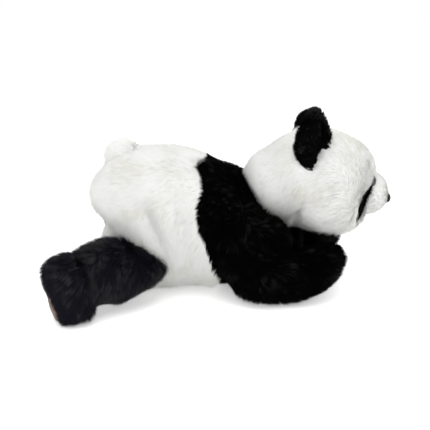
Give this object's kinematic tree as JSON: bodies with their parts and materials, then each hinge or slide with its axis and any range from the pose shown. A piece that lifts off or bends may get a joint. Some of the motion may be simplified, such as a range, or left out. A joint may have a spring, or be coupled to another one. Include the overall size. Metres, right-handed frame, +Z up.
{
  "type": "plush panda",
  "caption": "Plush panda lying on its belly with splayed hind legs, a turning and nodding head, swinging limbs, folding ears and a springy tail.",
  "frame": {"origin": "on the floor under the middle of the whole toy", "axes": "+X towards the nose, +Y to the panda's left, +Z up"},
  "size_m": [0.3419, 0.3026, 0.1865],
  "materials": {
    "white_plush": "long soft white pile",
    "short_white_plush": "clipped white pile",
    "black_plush": "long black pile with a soft sheen",
    "brown_suede": "matte brushed suede cloth",
    "filling": "loose polyester fibre",
    "pellet_cloth": "plain woven liner holding plastic pellets",
    "gloss_black": "polished",
    "washer_plastic": "moulded"
  },
  "bodies": {
    "torso": {"torso_cover_white": "white_plush", "shoulder_band_black": "black_plush", "torso_filling": "filling", "pellet_bag": "pellet_cloth"},
    "neck": {"neck_wad": "filling"},
    "head": {"head_cover": "white_plush", "head_filling": "filling", "muzzle_cover": "short_white_plush", "nose": "gloss_black", "nose_washer": "washer_plastic", "left_eye_patch": "black_plush", "left_eye": "gloss_black", "left_eye_washer": "washer_plastic", "right_eye_patch": "black_plush", "right_eye": "gloss_black", "right_eye_washer": "washer_plastic"},
    "tail": {"tail_cover": "white_plush", "tail_filling": "filling"},
    "left_arm": {"left_arm_cover": "black_plush", "left_arm_filling": "filling"},
    "left_leg": {"left_leg_cover": "black_plush", "left_leg_filling": "filling", "left_sole": "brown_suede"},
    "left_ear": {"left_ear_back": "black_plush", "left_ear_lining": "black_plush"},
    "right_arm": {"right_arm_cover": "black_plush", "right_arm_filling": "filling"},
    "right_leg": {"right_leg_cover": "black_plush", "right_leg_filling": "filling", "right_sole": "brown_suede"},
    "right_ear": {"right_ear_back": "black_plush", "right_ear_lining": "black_plush"}
  },
  "joints": [
    {"name": "neck_turn", "type": "hinge", "parent": "torso", "child": "neck", "pos_m": [0.06, 0, 0.108], "axis": [0, 0, 1], "range_deg": [-30, 30]},
    {"name": "head_nod", "type": "hinge", "parent": "neck", "child": "head", "pos_m": [0.06, 0, 0.108], "axis": [0, -1, 0], "range_deg": [-4, 18]},
    {"name": "left_shoulder_swing", "type": "hinge", "parent": "torso", "child": "left_arm", "pos_m": [0.016, 0.064, 0.051], "axis": [0, 0, 1], "range_deg": [-3, 50]},
    {"name": "left_hip_swing", "type": "hinge", "parent": "torso", "child": "left_leg", "pos_m": [-0.085, 0.062, 0.042], "axis": [0, 0, -1], "range_deg": [-4, 35]},
    {"name": "left_ear_fold", "type": "hinge", "parent": "head", "child": "left_ear", "pos_m": [0.082, 0.038, 0.15], "axis": [-1, 0, 0], "range_deg": [-10, 16], "stiffness_Nm_per_rad": 0.02},
    {"name": "right_shoulder_swing", "type": "hinge", "parent": "torso", "child": "right_arm", "pos_m": [0.016, -0.064, 0.051], "axis": [0, 0, -1], "range_deg": [-3, 50]},
    {"name": "right_hip_swing", "type": "hinge", "parent": "torso", "child": "right_leg", "pos_m": [-0.085, -0.062, 0.042], "axis": [0, 0, 1], "range_deg": [-4, 35]},
    {"name": "right_ear_fold", "type": "hinge", "parent": "head", "child": "right_ear", "pos_m": [0.082, -0.038, 0.15], "axis": [1, 0, 0], "range_deg": [-10, 16], "stiffness_Nm_per_rad": 0.02},
    {"name": "tail_flex", "type": "hinge", "parent": "torso", "child": "tail", "pos_m": [-0.11, 0, 0.128], "axis": [0, -1, 0], "range_deg": [-15, 15], "stiffness_Nm_per_rad": 0.03}
  ]
}
